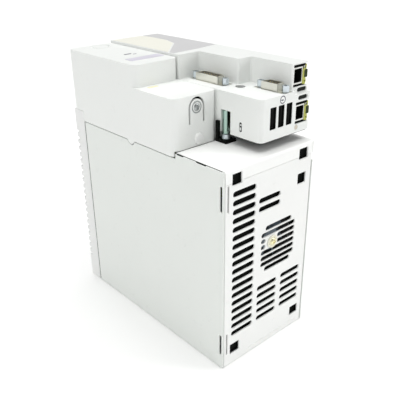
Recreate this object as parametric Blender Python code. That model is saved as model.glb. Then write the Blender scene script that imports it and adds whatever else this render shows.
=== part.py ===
"""Compact servo drive, lying on its mounting face.

Row frame: X across the width, Y along the height of the mounted drive (fan end at -Y),
Z out from the mounting face to the connectors. The origin is the middle of the mounting face.
"""
import bpy
import bmesh
from math import asin, cos, pi, sin

MM = 0.001                      # every size below is in millimetres

# ---- driving dimensions -------------------------------------------------------------------
WIDTH = 96.0                    # X, side panel to side panel
LENGTH = 190.0                  # Y, fan end to vented end
DECK_Z = 166.0                  # top of the sheet-metal deck
SEAM_Z = 162.0                  # where the moulded housing meets the side panel
MID_Z = 205.0                   # connector deck of the control housing, and of the lower block
TOP_Z = 224.0                   # top of the control housing, the highest moulded face
FRONT_Z = TOP_Z - 2.0           # top of the front housing's raised block
SHEET = 1.5                     # sheet-metal thickness
WALL = 2.0                      # moulded wall thickness
COVER = 1.4                     # thickness of the control housing's side cover
GAP = 0.3                       # clearance left between neighbouring pieces

X0, X1 = -WIDTH / 2, WIDTH / 2
Y0, Y1 = -LENGTH / 2, LENGTH / 2
STEP_Y = -44.0                  # fan-side face of the lower block
RAISE_Y = 0.0                   # fan-side face of the raised block
CAP_Y = 79.7                    # where the vented end cap starts
CAP_Z = 171.0                   # top of the vented end cap
SPLIT_X = -5.2                  # seam between front housing and control housing
MODULE_Y = -88.0                # fan-side face of the overhanging connector module
MODULE_Z = 173.6                # underside of the overhanging module
TALL_Y = -84.4                  # fan-side face of the tall part above the module
TALL_X = 30.1                   # narrow part of the tall section starts here
MID_X = 16.4                    # wide part of the tall section starts here
MID_Y = -43.8

FAN_X, FAN_Z = 11.4, 90.1       # fan axis
FAN_SIZE = 40.0
FAN_DEPTH = 15.0
SLOT_PITCH = 6.97               # ventilation slots in the fan end plate
SLOT_HEIGHT = 4.2
FAN_SLOT = 3.7                  # height of the slots over the fan
END_SHEET = 1.2                 # thickness of the fan end plate and the deck
PANEL_TOP = 156.2               # top of the fan end plate, under the deck's folded lip


# ---- outlines -----------------------------------------------------------------------------
def rect(u0, v0, u1, v1):
    return [(u0, v0), (u1, v0), (u1, v1), (u0, v1)]


def arc(cu, cv, r, start, end, steps):
    return [(cu + r * cos(start + (end - start) * i / steps),
             cv + r * sin(start + (end - start) * i / steps)) for i in range(steps + 1)]


def rounded(u0, v0, u1, v1, r, steps=3):
    """Rectangle with round corners."""
    return (arc(u1 - r, v0 + r, r, -pi / 2, 0, steps) + arc(u1 - r, v1 - r, r, 0, pi / 2, steps)
            + arc(u0 + r, v1 - r, r, pi / 2, pi, steps) + arc(u0 + r, v0 + r, r, pi, 1.5 * pi, steps))


def slot(cu, cv, length, height):
    """Slot with full round ends along the first axis."""
    r = height / 2
    return (arc(cu + length / 2 - r, cv, r, -pi / 2, pi / 2, 5)
            + arc(cu - length / 2 + r, cv, r, pi / 2, 1.5 * pi, 5))


def circle(cu, cv, r, sides=20):
    return arc(cu, cv, r, 0, 2 * pi * (sides - 1) / sides, sides - 1)


# ---- solids -------------------------------------------------------------------------------
PLACE = {"X": lambda u, v, w: (w, u, v),        # outline in Y, Z
         "Y": lambda u, v, w: (u, w, v),        # outline in X, Z
         "Z": lambda u, v, w: (u, v, w)}        # outline in X, Y


def add_prism(bm, outline, axis, low, high):
    rings = []
    for w in (low, high):
        rings.append([bm.verts.new([c * MM for c in PLACE[axis](u, v, w)]) for u, v in outline])
    bm.faces.new(rings[0])
    bm.faces.new(rings[1])
    count = len(outline)
    for i in range(count):
        j = (i + 1) % count
        bm.faces.new((rings[0][i], rings[0][j], rings[1][j], rings[1][i]))


def mesh_of(name, prisms):
    bm = bmesh.new()
    for prism in prisms:
        add_prism(bm, *prism)
    bmesh.ops.recalc_face_normals(bm, faces=bm.faces)
    mesh = bpy.data.meshes.new(name)
    bm.to_mesh(mesh)
    bm.free()
    return mesh


def new_object(name, mesh):
    ob = bpy.data.objects.new(name, mesh)
    bpy.context.scene.collection.objects.link(ob)
    return ob


def helper(name, mesh):
    """A cutter or an added shape: used by a Boolean and left out of the build."""
    ob = new_object(name, mesh)
    ob.hide_render = True
    ob.display_type = "WIRE"
    return ob


def combine(ob, prisms, operation, number):
    name = f"{operation.lower()}_{number}"
    modifier = ob.modifiers.new(name, "BOOLEAN")
    modifier.operation = operation
    modifier.solver = "EXACT"
    modifier.object = helper(f"{ob.name}_{name}", mesh_of(name, prisms))
    return modifier.object


def solid(name, material, base, unions=(), cuts=()):
    """One sub-part: separate base prisms, then added shapes, then groups of cutters."""
    ob = new_object(name, mesh_of(name, base))
    ob.data.materials.append(material)
    for number, prism in enumerate(unions):
        combine(ob, [prism], "UNION", number)
    for number, group in enumerate(cuts):
        combine(ob, group, "DIFFERENCE", number)
    return ob


def smooth_round(ob):
    ob.data.shade_smooth()
    ob.data.set_sharp_from_angle(angle=0.6)


def material(name, color, roughness, metallic=0.0):
    mat = bpy.data.materials.new(name)
    mat.use_nodes = True
    shader = mat.node_tree.nodes["Principled BSDF"]
    shader.inputs["Base Color"].default_value = (*color, 1.0)
    shader.inputs["Roughness"].default_value = roughness
    shader.inputs["Metallic"].default_value = metallic
    return mat


# ---- sheet-metal case ---------------------------------------------------------------------
TAB_SLITS = ((12.6, 30.6), (136.2, 155.0))     # z ranges of the corner tab slits
NOTCH_Y, NOTCH_R, NOTCH_RISE = 10.0, 4.8, 1.7  # thumb notch in the housing seam


def side_panels():
    sheet = material("sheet_paint", (0.70, 0.74, 0.70), 0.45)
    edge_y = CAP_Y - GAP
    step_y = STEP_Y - GAP
    dip = asin(NOTCH_RISE / NOTCH_R)
    notch = arc(NOTCH_Y, SEAM_Z + NOTCH_RISE, NOTCH_R, 2 * pi - dip, pi + dip, 8)
    outline = ([(Y0, 0), (edge_y, 0), (edge_y, SEAM_Z)] + notch
               + [(step_y, SEAM_Z), (step_y, DECK_Z), (Y0, DECK_Z)])
    slits = [(rect(Y0 + 2.0, low, Y0 + 3.4, high), "X", X0 - 1, X0 + 3) for low, high in TAB_SLITS]
    solid("side_panel_left", sheet, [(outline, "X", X0, X0 + SHEET)], cuts=[slits])
    plain = [(Y0, 0), (edge_y, 0), (edge_y, SEAM_Z), (STEP_Y, SEAM_Z), (STEP_Y, PANEL_TOP - GAP),
             (Y0 + 3.0, PANEL_TOP - GAP), (Y0 + 3.0, 150.0), (Y0, 150.0)]
    solid("side_panel_right", sheet, [(plain, "X", X1 - SHEET, X1)])


def square_holes():
    """Tool openings near the corners of the fan end plate."""
    boxes = [rect(-39.9, 9.2, -29.8, 18.5), rect(31.5, 10.4, 41.6, 19.0), rect(-39.7, 153.9, -30.2, 162.6),
             rect(30.7, 153.9, 41.0, 162.6), rect(30.6, 133.7, 40.1, 142.5)]
    return [(box, "Y", Y0 - 2, Y0 + 4) for box in boxes]


def vent_slots():
    cuts = []
    for row in range(18):
        cuts.append(slot(-27.1, 28.4 + SLOT_PITCH * row, 23.2, SLOT_HEIGHT))
    for row in range(5):
        cuts.append(slot(0.5, 28.8 + 7.05 * row, 22.8, SLOT_HEIGHT))
        cuts.append(slot(28.4, 29.0 + 7.05 * row, 23.3, SLOT_HEIGHT))
    cuts.append(slot(-0.2, 126.2, 23.6, SLOT_HEIGHT))
    cuts.append(slot(-0.2, 133.2, 23.6, SLOT_HEIGHT))
    for row in range(8):
        z = FAN_Z + 5.1 * (row - 3.5)
        length = 30.0 if row in (0, 7) else 38.8
        if row in (4, 5):                       # the island that holds the fan screw interrupts these two
            cuts.append(slot(FAN_X - 17.0, z, 5.0, FAN_SLOT))
            cuts.append(slot(FAN_X + 9.0, z, 20.8, FAN_SLOT))
        else:
            cuts.append(slot(FAN_X, z, length, FAN_SLOT))
    return [(outline, "Y", Y0 - 2, Y0 + 4) for outline in cuts]


SCREW_X, SCREW_Z = 4.2, 94.7                    # fan screw
PIT_X0, PIT_X1, PIT_Y0 = -8.0, 3.4, -56.0       # opening in the deck for the ground terminal


def fan_end():
    sheet = material("end_paint", (0.86, 0.86, 0.84), 0.42)
    slits = [(rect(-43.7, low - 1.5, -42.8, high), "Y", Y0 - 2, Y0 + 4) for low, high in TAB_SLITS]
    hole = [(circle(SCREW_X, SCREW_Z, 1.8, 12), "Y", Y0 - 2, Y0 + 4)]
    solid("fan_end_plate", sheet,
          [(rect(X0 + SHEET + GAP, 0, X1 - SHEET - GAP, PANEL_TOP - GAP), "Y", Y0, Y0 + END_SHEET)],
          cuts=[vent_slots() + slits, square_holes() + hole])
    lip = (rect(X0 + SHEET + GAP, PANEL_TOP, X1, DECK_Z), "Y", Y0, Y0 + END_SHEET)
    ledge = (rect(Y0 + 0.5, PANEL_TOP, STEP_Y - GAP, DECK_Z), "X", X1 - SHEET, X1)
    pit = [(rect(PIT_X0, PIT_Y0, PIT_X1, STEP_Y + 4), "Z", DECK_Z - 4, DECK_Z + 4)]
    solid("deck_plate", sheet,
          [(rect(X0 + SHEET + GAP, Y0 + 0.6, X1, STEP_Y - GAP), "Z", DECK_Z - END_SHEET, DECK_Z)],
          unions=[lip, ledge], cuts=[square_holes(), pit])


# ---- aluminium heat sink: mounting plate and cooling tunnel ----------------------------------
TUNNEL_X0, TUNNEL_X1 = -12.0, 35.0
TUNNEL_TOP = 116.0
FIN, CHANNELS = 2.0, 7                         # fin thickness, and air channels between the fins
BASE_Z = 7.0                                   # thickness of the mounting plate
KEYHOLE_X = (-30.0, 30.0)
KEYHOLE_Y = (-80.0, 60.0)


def heat_sink():
    aluminium = material("aluminium", (0.72, 0.73, 0.74), 0.38, 1.0)
    channels = []
    pitch = (TUNNEL_X1 - TUNNEL_X0 - FIN) / CHANNELS
    for i in range(CHANNELS):
        u = TUNNEL_X0 + FIN + pitch * i
        channels.append((rect(u, 10.0, u + pitch - FIN, TUNNEL_TOP - 5.0), "Y", -80, 90))
    solid("heat_sink", aluminium,
          [(rect(TUNNEL_X0, BASE_Z + GAP, TUNNEL_X1, TUNNEL_TOP), "Y", -68, 74)], cuts=[channels])


def mounting_plate():
    """Thick base plate whose back is the mounting face, with a keyhole near each corner."""
    aluminium = material("plate_aluminium", (0.72, 0.73, 0.74), 0.42, 1.0)
    heads = []
    necks = []
    for x in KEYHOLE_X:
        for y in KEYHOLE_Y:
            heads.append((circle(x, y, 5.5, 16), "Z", -2, 9))
            necks.append((slot_up(x, y + 6.0, 5.8, 12.0), "Z", -2, 9))
    solid("mounting_plate", aluminium,
          [(rect(X0 + SHEET + GAP, Y0 + SHEET + GAP, X1 - SHEET - GAP, CAP_Y - GAP), "Z", 0, BASE_Z)],
          cuts=[heads, necks])


def slot_up(cu, cv, width, length):
    """Slot with full round ends along the second axis."""
    return [(cu + v, cv + u) for u, v in slot(0, 0, length, width)]


# ---- moulded plastics -----------------------------------------------------------------------
CAP_PITCH, CAP_SLOT = 6.3, 2.9                 # ventilation slots of the end cap


def vent_cap():
    """End cap with ventilation slots that run round both corners."""
    plastic = material("grey_plastic", (0.80, 0.82, 0.79), 0.48)
    hollow = [(rect(X0 + WALL, CAP_Y - 3, X1 - WALL, Y1 - WALL), "Z", 2.0, CAP_Z - WALL)]
    slots = []
    for row in range(21):
        z = 22.0 + CAP_PITCH * row
        for x0, x1 in ((X0 - 2, -2.5), (2.5, X1 + 2)):
            slots.append((rect(x0, z, x1, z + CAP_SLOT), "Y", Y1 - 3.6, Y1 + 2))
    solid("vent_cap", plastic, [(rounded(X0, CAP_Y, X1, Y1, 1.2, 2), "Z", 0, CAP_Z)], cuts=[hollow, slots])


TONGUE = (-26.0, 195.8)                        # axis of the screw in the tongue, in X and Z
PLUG = (-24.3, 171.9)                          # axis of the blank plug
ROUND_MARK = (-22.4, 84.0, 8.2)                # moulded ring in the raised block's top: X, Y, radius


def front_housing():
    """Raised block and lower block over the power terminals, with a screw tongue in its fan-side face."""
    plastic = material("front_plastic", (0.80, 0.82, 0.79), 0.45)
    x1 = SPLIT_X - GAP
    corner = 5.5
    low = (rounded(X0, STEP_Y, x1, Y1, corner), "Z", SEAM_Z + GAP, MID_Z)
    high = (rounded(X0, RAISE_Y, x1, Y1, corner), "Z", MID_Z - 6, FRONT_Z)
    lug = (arc(NOTCH_Y, SEAM_Z + NOTCH_RISE, NOTCH_R - GAP, pi, 2 * pi, 8), "X", X0, X0 + WALL)
    inner = corner - WALL
    low_plan = rounded(X0 + WALL, STEP_Y + WALL, x1 - WALL, Y1 - WALL, inner)
    high_plan = rounded(X0 + WALL, RAISE_Y + WALL, x1 - WALL, Y1 - WALL, inner)
    cavity = [(low_plan, "Z", 150, MID_Z - WALL)]
    upper = [(high_plan, "Z", MID_Z - 12, FRONT_Z - WALL)]
    clear_cap = [(rect(X0 - 2, CAP_Y - GAP, 0, Y1 + 2), "Z", 150, CAP_Z + GAP)]
    clear_deck = [(rect(X0 + SHEET + GAP, STEP_Y - 2, 0, STEP_Y + 4), "Z", 150, DECK_Z + GAP)]
    u, v = TONGUE
    outer = arc(u, v, 7.6, 0, pi, 10)
    inner = arc(u, v, 6.4, pi, 0, 10)
    groove = [([(u + 7.6, v - 12.0)] + outer + [(u - 7.6, v - 12.0), (u - 6.4, v - 12.0)] + inner
               + [(u + 6.4, v - 12.0)], "Y", STEP_Y - 2, STEP_Y + 4)]
    holes = [(circle(x, z, r, 16), "Y", STEP_Y - 2, STEP_Y + 4) for x, z, r in ((u, v, 2.2), (*PLUG, 3.0))]
    socket = [(rect(-42.0, 177.0, -11.0, 199.0), "Y", Y1 - 5, Y1 + 3)]
    x, y, r = ROUND_MARK
    ring_outline = arc(x, y, r, 0, 1.999 * pi, 32) + arc(x, y, r - 0.9, 1.999 * pi, 0, 32)
    ring = [(ring_outline, "Z", FRONT_Z - 0.5, TOP_Z)]
    solid("front_housing", plastic, [low], unions=[high, lug],
          cuts=[cavity, upper, clear_cap, clear_deck, groove, holes + socket, ring])
    solid("blank_plug", plastic,
          [(circle(*PLUG, 4.3), "Y", STEP_Y - 0.9, STEP_Y - GAP)],
          unions=[(circle(*PLUG, 2.6, 16), "Y", STEP_Y - 0.5, STEP_Y + 3.5)])


def control_outline(inset=0.0):
    """Plan of the tall part of the control housing; inset moves its walls inwards."""
    left = SPLIT_X + inset
    return [(left, RAISE_Y + inset), (MID_X + inset, RAISE_Y + inset), (MID_X + inset, MID_Y + inset),
            (TALL_X + inset, MID_Y + inset), (TALL_X + inset, TALL_Y + inset), (X1 - inset, TALL_Y + inset),
            (X1 - inset, Y1 - inset), (left, Y1 - inset)]


HEADER_X = (7.2, 15.9, 24.6)                   # header sockets in the module's fan-side face
HEADER_Z0, HEADER_Z1 = 181.7, 197.7
JACK_X = 38.5
JACK_Z = {"rj45_upper": 213.9, "rj45_lower": 187.8}
JACK_Y = {"rj45_upper": TALL_Y, "rj45_lower": MODULE_Y}
JACK_H = 16.0
DSUB = {"dsub15": (9.0, -20.8, 39.0), "dsub9": (23.8, -72.0, 29.6)}    # X, Y and flange length
DSUB_SCREW, DSUB_SHELL = 2.85, 7.1             # flange end to screw axis, and to the D-shaped shell
BUTTON_X, BUTTON_Z, BUTTON_R = 33.4, 177.6, 1.7
LED_Z = (204.2, 198.0)
COVER_SCREW = (13.0, -49.4)
COVER_SCREW_R = 3.6
POST_TOP = 190.4
POST_X, POST_Y, POST_R = -2.6, -50.4, 2.7      # ground post


def control_housing():
    plastic = material("control_plastic", (0.82, 0.84, 0.81), 0.45)
    low = (rounded(SPLIT_X, MODULE_Y, X1, Y1, 3.0), "Z", SEAM_Z + GAP, MID_Z)
    tall = (control_outline(), "Z", MID_Z - 6, TOP_Z)
    right = X1 - WALL - 1.6                      # the right side stays open for the cover plate
    cavity = [(rect(SPLIT_X + WALL, MODULE_Y + WALL, X1 + 2, Y1 - WALL), "Z", MODULE_Z + WALL, MID_Z - WALL)]
    below = [(rect(SPLIT_X + WALL, STEP_Y + WALL, X1 + 2, Y1 - WALL), "Z", 150, MODULE_Z + 6)]
    inside = control_outline(WALL)
    upper = [([(u if u < right else X1 + 2, v) for u, v in inside], "Z", MID_Z - 8, TOP_Z - WALL)]
    clear_module = [(rect(SPLIT_X - 2, MODULE_Y - 2, X1 + 2, STEP_Y), "Z", 150, MODULE_Z)]
    clear_deck = [(rect(SPLIT_X - 2, STEP_Y - 0.01, X1 + 2, STEP_Y + 4), "Z", 150, DECK_Z + GAP)]
    clear_cap = [(rect(SPLIT_X - 2, CAP_Y - GAP, X1 + 2, Y1 + 2), "Z", 150, CAP_Z + GAP)]
    front = []
    for x in HEADER_X:
        front.append((rect(x - 3.1, HEADER_Z0, x + 3.1, HEADER_Z1), "Y", MODULE_Y - 2, MODULE_Y + 4))
    front.append((rect(JACK_X - 6.9, 180.0, X1 + 2, 196.0), "Y", MODULE_Y - 2, MODULE_Y + 4))
    front.append((circle(BUTTON_X, BUTTON_Z, BUTTON_R + 0.3, 14), "Y", MODULE_Y - 2, MODULE_Y + 4))
    window = [(rect(JACK_X - 6.9, 205.6, X1 + 2, TOP_Z - WALL), "Y", TALL_Y - 4, TALL_Y + 3)]
    leds = [(slot(38.4, z, 9.6, 3.4), "Y", MODULE_Y - 2, TALL_Y + 3) for z in LED_Z]
    deck = []
    for x, y, span in DSUB.values():
        half = span / 2 + 0.4
        deck.append((rounded(x - 5.4, y - half, x + 5.4, y + half, 2.0, 2), "Z", MID_Z - 4, MID_Z + 1))
    deck.append((circle(*COVER_SCREW, COVER_SCREW_R + GAP, 24), "Z", MID_Z - 4, MID_Z + 1))
    channel = [(rect(SPLIT_X - 2, POST_Y - 7.2, POST_X + POST_R + GAP, POST_Y + POST_R + GAP), "Z",
                MODULE_Z - 3, POST_TOP + 0.5)]
    slit = [(slot_up(-68.0, 181.5, 2.6, 7.5), "X", SPLIT_X - 2, SPLIT_X + 3)]
    socket = [(rect(3.0, 177.0, 40.0, 199.0), "Y", Y1 - 4, Y1 + 3)]
    solid("control_housing", plastic, [low], unions=[tall],
          cuts=[cavity, below, upper, clear_module, clear_deck, clear_cap, front, window, leds, deck,
                channel, slit, socket])
    floor = MODULE_Z + WALL + GAP
    low_edge, cap_edge, cap_top = SEAM_Z + GAP, CAP_Y - GAP - 0.5, CAP_Z + GAP
    far, top = Y1 - WALL - GAP, TOP_Z - WALL - GAP
    cover = [(MODULE_Y + 3, floor), (STEP_Y + 3, floor), (STEP_Y + 3, low_edge), (cap_edge, low_edge),
             (cap_edge, cap_top), (far, cap_top), (far, top), (MODULE_Y + 8, top), (MODULE_Y + 8, 200.0),
             (MODULE_Y + 3, 200.0)]
    solid("control_cover", plastic, [(cover, "X", X1 - COVER, X1)])


# ---- connectors -------------------------------------------------------------------------------
def d_outline(cx, cy, long_half, short_half, inset=0.0):
    """D-shaped outline, long side along Y, narrower on its +X side."""
    a = long_half - inset
    b = short_half - inset
    return [(cx - b, cy - a), (cx + b, cy - a + 1.5), (cx + b, cy + a - 1.5), (cx - b, cy + a)]


def dsubs():
    steel = material("connector_shell", (0.80, 0.79, 0.73), 0.35, 1.0)
    black = material("connector_black", (0.03, 0.03, 0.03), 0.5)
    zinc = material("zinc", (0.66, 0.70, 0.74), 0.32, 1.0)
    for name, (x, y, span) in DSUB.items():
        half = span / 2 - DSUB_SHELL
        plate = rounded(x - 5.1, y - span / 2, x + 5.1, y + span / 2, 1.8, 2)
        reach = span / 2 - DSUB_SCREW
        holes = [(circle(x, y + s * reach, 2.0, 10), "Z", MID_Z - 3, MID_Z + 1) for s in (-1, 1)]
        solid(name + "_shell", steel, [(plate, "Z", MID_Z - 1.2, MID_Z - 0.2)],
              unions=[(d_outline(x, y, half, 4.2), "Z", MID_Z - 0.7, MID_Z + 5.6)],
              cuts=[[(d_outline(x, y, half, 4.2, 0.6), "Z", MID_Z - 3, MID_Z + 8)], holes])
        solid(name + "_insert", black, [(d_outline(x, y, half, 4.2, 0.9), "Z", MID_Z - 5.6, MID_Z + 4.6)])
        for side, s in (("a", -1), ("b", 1)):
            cy = y + s * reach
            solid(f"{name}_jackscrew_{side}", zinc, [(circle(x, cy, 2.7, 6), "Z", MID_Z + 0.2, MID_Z + 5.0)],
                  unions=[(circle(x, cy, 1.6, 10), "Z", MID_Z - 5.0, MID_Z + 1.0)],
                  cuts=[[(circle(x, cy, 1.3, 10), "Z", MID_Z + 1.0, MID_Z + 6.0)]])


def jacks():
    black = material("jack_black", (0.02, 0.02, 0.02), 0.45)
    gold = material("gold", (0.83, 0.62, 0.24), 0.25, 1.0)
    for name, z in JACK_Z.items():
        y = JACK_Y[name] + 0.6
        socket = rounded(JACK_X - 5.2, z - 6.2, JACK_X + 3.6, z + 6.2, 0.4, 1)
        key = rect(JACK_X + 3.0, z - 3.2, JACK_X + 5.4, z + 3.2)
        body = rect(JACK_X - 6.1, z - JACK_H / 2 + 0.2, JACK_X + 5.9, z + JACK_H / 2 - 0.2)
        solid(name, black, [(body, "Y", y + 0.2, y + 17.5)],
              cuts=[[(socket, "Y", y - 2, y + 12.5)], [(key, "Y", y - 2, y + 9.0)]])
        pins = []
        for i in range(8):
            low = z - 4.2 + 1.1 * i
            pins.append((rect(JACK_X - 4.9, low, JACK_X - 4.5, low + 0.6), "Y", y + 3, y + 11.5))
        carrier = (rect(JACK_X - 4.9, z - 4.6, JACK_X - 4.3, z + 4.6), "Y", y + 11.0, y + 12.2)
        solid(name + "_contacts", gold, [carrier], unions=pins)


def headers():
    black = material("header_black", (0.025, 0.03, 0.03), 0.5)
    for number, x in enumerate(HEADER_X, 1):
        outer = rect(x - 3.9, HEADER_Z0 - 1.2, x + 3.9, HEADER_Z1 + 1.2)
        inner = rect(x - 2.9, HEADER_Z0 + 0.2, x + 2.9, HEADER_Z1 - 0.2)
        solid(f"header_{number}", black, [(outer, "Y", MODULE_Y + WALL + GAP, MODULE_Y + 15)],
              cuts=[[(inner, "Y", MODULE_Y - 2, MODULE_Y + 12.5)]])


def indicators():
    clear = material("light_pipe", (0.10, 0.12, 0.11), 0.2)
    for number, z in enumerate(LED_Z, 1):
        solid(f"light_pipe_{number}", clear, [(slot(38.4, z, 8.8, 2.6), "Y", MODULE_Y + 0.9, MODULE_Y + 12)])


def button():
    beige = material("button_beige", (0.80, 0.72, 0.55), 0.45)
    grey = material("switch_black", (0.04, 0.04, 0.04), 0.5)
    round_face = circle(BUTTON_X, BUTTON_Z, BUTTON_R, 16)
    cap = solid("reset_button", beige, [(round_face, "Y", MODULE_Y, MODULE_Y + 5.0)])
    smooth_round(cap)
    case = rect(BUTTON_X - 3, BUTTON_Z - 1.6, BUTTON_X + 3, BUTTON_Z + 1.6)
    solid("reset_switch", grey, [(case, "Y", MODULE_Y + 5.9, MODULE_Y + 9.4)])


def ground_terminal():
    black = material("terminal_black", (0.03, 0.035, 0.035), 0.5)
    zinc = material("post_zinc", (0.55, 0.68, 0.68), 0.25, 1.0)
    back = STEP_Y - GAP
    base = rect(PIT_X0 + GAP, PIT_Y0 + GAP, PIT_X1 - GAP, back)
    rib = rect(PIT_X0 + GAP, back - 2.7, SPLIT_X - GAP, back)
    solid("ground_base", black, [(base, "Z", DECK_Z - 8, DECK_Z + 2.2)], unions=[(rib, "Z", DECK_Z, 182.0)])
    head = (DECK_Z + 2.5, DECK_Z + 6.2)
    screw = solid("ground_screw", zinc, [(circle(POST_X - 0.4, POST_Y - 0.6, 3.3, 24), "Z", *head)])
    post = solid("ground_post", zinc, [(circle(POST_X, POST_Y, POST_R, 24), "Z", head[1] + GAP, POST_TOP)])
    smooth_round(screw)
    smooth_round(post)


SOCKET_X = {"mains_connector": (-41.5, -11.5), "motor_connector": (3.5, 39.5)}


def power_connectors():
    """Shrouded headers for the mains and motor plugs, in the vented end."""
    grey = material("connector_grey", (0.10, 0.11, 0.11), 0.5)
    for name, (x0, x1) in SOCKET_X.items():
        well = rounded(x0 + 1.6, 179.3, x1 - 1.6, 196.7, 1.0, 2)
        solid(name, grey, [(rect(x0, 177.5, x1, 198.5), "Y", Y1 - 20, Y1 - 1.2)],
              cuts=[[(well, "Y", Y1 - 14, Y1 + 3)]])


def screws():
    """Captive and fastening screws that show on the faces."""
    zinc = material("screw_zinc", (0.62, 0.66, 0.68), 0.3, 1.0)
    yellow = material("screw_yellow", (0.75, 0.68, 0.40), 0.35, 1.0)
    cream = material("washer_cream", (0.80, 0.77, 0.64), 0.4)
    u, v = TONGUE
    solid("tongue_screw", zinc, [(circle(u, v, 4.0, 24), "Y", STEP_Y - 1.5, STEP_Y - GAP)],
          unions=[(circle(u, v, 1.8, 12), "Y", STEP_Y - 1.0, STEP_Y + 9)],
          cuts=[cross("Y", u, v, 4.2, 0.9, STEP_Y - 3, STEP_Y - 0.8)])
    x, y = COVER_SCREW
    solid("cover_screw", zinc, [(circle(x, y, COVER_SCREW_R, 24), "Z", MID_Z - 3.4, MID_Z - 1.4)],
          unions=[(circle(x, y, 1.6, 12), "Z", MID_Z - 9, MID_Z - 3.0)],
          cuts=[cross("Z", x, y, 3.4, 0.8, MID_Z - 2.4, MID_Z + 1)])
    solid("fan_washer", cream, [(circle(SCREW_X, SCREW_Z, 5.2, 24), "Y", Y0 - 0.9, Y0 - GAP)],
          cuts=[[(circle(SCREW_X, SCREW_Z, 1.9, 12), "Y", Y0 - 4, Y0 + 4)]])
    solid("fan_screw", yellow, [(circle(SCREW_X, SCREW_Z, 3.2, 20), "Y", Y0 - 2.6, Y0 - 1.2)],
          unions=[(circle(SCREW_X, SCREW_Z, 1.5, 12), "Y", Y0 - 2.0, Y0 + 6)],
          cuts=[cross("Y", SCREW_X, SCREW_Z, 3.6, 0.8, Y0 - 4, Y0 - 1.9)])


def cross(axis, cu, cv, span, width, low, high):
    """Cross recess as one outline."""
    a = span / 2
    b = width / 2
    outline = [(-b, -a), (b, -a), (b, -b), (a, -b), (a, b), (b, b),
               (b, a), (-b, a), (-b, b), (-a, b), (-a, -b), (-b, -b)]
    return [([(cu + p, cv + q) for p, q in outline], axis, low, high)]


def labels():
    grey = material("label_grey", (0.72, 0.71, 0.72), 0.4)
    lilac = material("label_lilac", (0.86, 0.85, 0.90), 0.4)
    stripe = rounded(-39.5, 14.0, SPLIT_X - 2.5, 23.5, 0.8, 2)
    panel = rounded(SPLIT_X + 1.5, 5.0, X1 - 2.0, Y1 - 2.0, 1.5, 2)
    solid("label_left", lilac, [(stripe, "Z", FRONT_Z + 0.02, FRONT_Z + 0.25)])
    solid("label_right", grey, [(panel, "Z", TOP_Z + 0.02, TOP_Z + 0.25)])


# ---- boards and what they carry ---------------------------------------------------------------
POWER_Z = 128.0


def boards():
    green = material("board_green", (0.45, 0.47, 0.10), 0.4)
    edge = X1 - COVER - GAP
    low, step, top = MODULE_Z + 3, 201.0, 220.0
    board = [(MODULE_Y + 2.6, low), (STEP_Y + 3, low), (STEP_Y + 3, 140.0), (CAP_Y - 2, 140.0),
             (CAP_Y - 2, top), (TALL_Y + 2.3, top), (TALL_Y + 2.3, step), (MODULE_Y + 2.6, step)]
    solid("control_board", green, [(board, "X", edge - 1.6, edge)])
    solid("connector_board", green, [(rect(-1.0, -80.0, 29.0, -4.0), "Z", 193.0, 194.6)],
          cuts=[[(rect(-3.0, -90.0, 30.0, -71.0), "Z", 190, 197)]])
    solid("power_board", green, [(rect(-44.0, -62.0, 40.0, 74.0), "Z", POWER_Z, POWER_Z + 1.6)])


def power_parts():
    black = material("power_black", (0.04, 0.04, 0.045), 0.5)
    can = material("capacitor_sleeve", (0.05, 0.09, 0.20), 0.35)
    ferrite = material("ferrite", (0.10, 0.10, 0.11), 0.6)
    zinc = material("standoff_zinc", (0.70, 0.72, 0.74), 0.3, 1.0)
    solid("power_module", black, [(rect(-9.0, -30.0, 32.0, 32.0), "Z", TUNNEL_TOP + GAP, POWER_Z - GAP)])
    solid("rectifier", black, [(rect(-4.0, 42.0, 28.0, 62.0), "Z", TUNNEL_TOP + GAP, POWER_Z - GAP)])
    for number, y in enumerate((-46.0, -17.0, 12.0, 41.0), 1):
        round_can = circle(-29.0, y, 12.5, 24)
        ob = solid(f"capacitor_{number}", can, [(round_can, "Z", POWER_Z - 58, POWER_Z - GAP)])
        smooth_round(ob)
    solid("line_relay", black, [(rect(-40.0, 56.0, -24.0, 72.0), "Z", POWER_Z + 1.9, POWER_Z + 20)])
    solid("choke", ferrite, [(circle(18.0, 46.0, 13.0, 24), "Z", POWER_Z + 1.9, POWER_Z + 14.0)],
          cuts=[[(circle(18.0, 46.0, 6.5, 20), "Z", POWER_Z, POWER_Z + 20)]])
    solid("transformer", ferrite, [(rect(-14.0, -30.0, 12.0, -4.0), "Z", POWER_Z + 1.9, POWER_Z + 24)])
    corners = [(x, y) for x in (-41.0, 38.0) for y in (-59.0, 71.0)]
    for number, (x, y) in enumerate(corners, 1):
        solid(f"standoff_{number}", zinc, [(circle(x, y, 2.6, 6), "Z", 7.0 + GAP, POWER_Z - GAP)])


# ---- fan ----------------------------------------------------------------------------------------
BLADES = 7


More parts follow.
